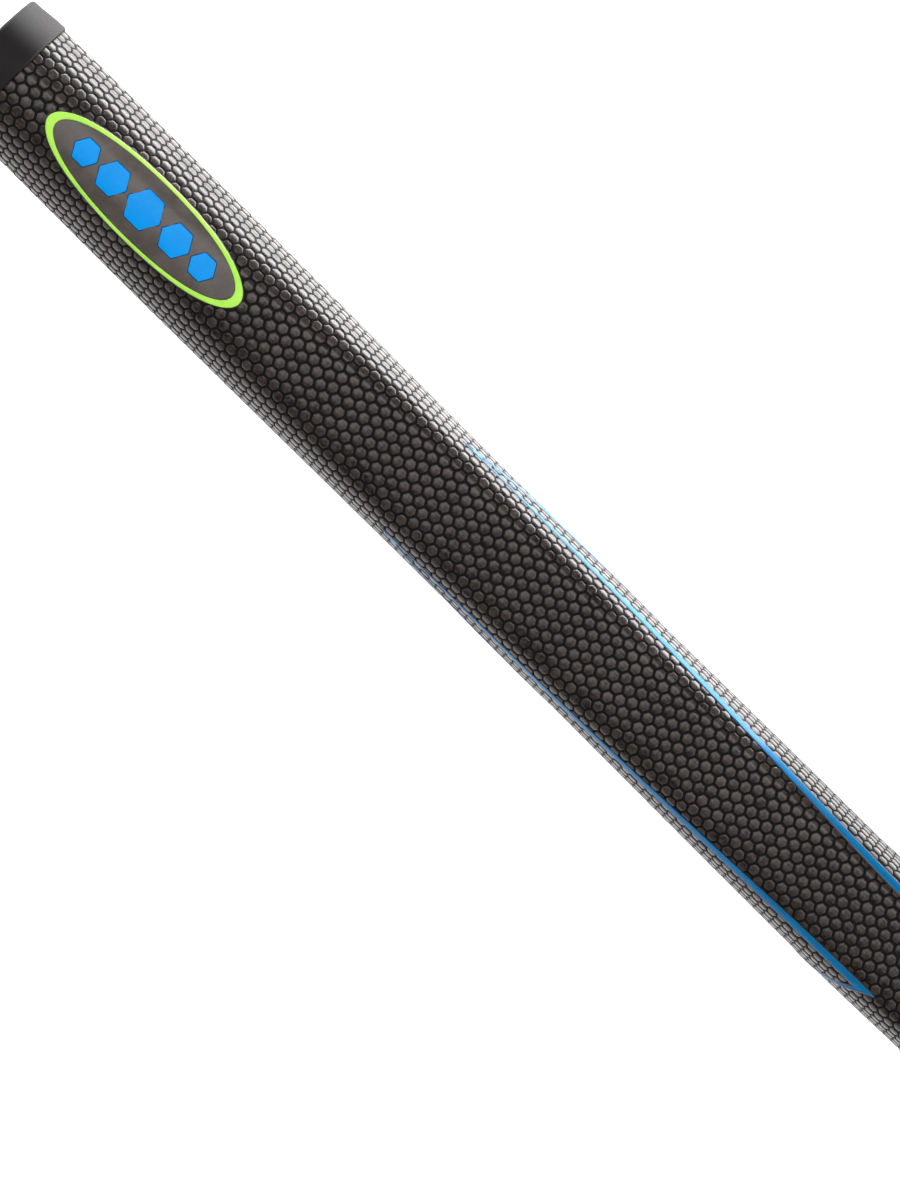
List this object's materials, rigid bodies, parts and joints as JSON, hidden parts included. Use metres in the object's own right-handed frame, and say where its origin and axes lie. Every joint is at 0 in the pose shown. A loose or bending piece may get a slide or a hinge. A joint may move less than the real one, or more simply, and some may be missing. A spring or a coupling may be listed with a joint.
{
  "type": "putter grip",
  "caption": "Pistol putter grip with a flat front, a hexagon-textured wrapped skin, a badge, side accent lines, and a vented blind bore for the club's shaft.",
  "frame": {"origin": "centre of the bore at the mouth face", "axes": "+X out of the mouth along the bore, towards the club head, so the body lies at negative X; +Z the way the flat front faces; the grip lies on its back"},
  "size_m": [0.2794, 0.0286, 0.0306],
  "materials": {
    "core_sleeve": "matt closed-cell foam rubber",
    "felt_backing": "matt needled felt",
    "hex_wrap": "glossy tacky polyurethane skin with pressed hexagons",
    "seam_strip": "satin sealed seam",
    "end_cap": "satin moulded rubber",
    "mouth_ring": "satin moulded rubber",
    "badge_plate": "satin paint",
    "badge_outline": "satin paint",
    "badge_marks": "satin paint",
    "accent_line": "satin paint"
  },
  "bodies": {
    "root": {"core_sleeve": "core_sleeve", "felt_backing": "felt_backing", "hex_wrap": "hex_wrap", "seam_strip": "seam_strip", "end_cap": "end_cap", "mouth_ring": "mouth_ring", "badge_plate": "badge_plate", "badge_outline": "badge_outline", "badge_marks": "badge_marks", "accent_line_left": "accent_line", "accent_line_right": "accent_line"}
  },
  "joints": []
}
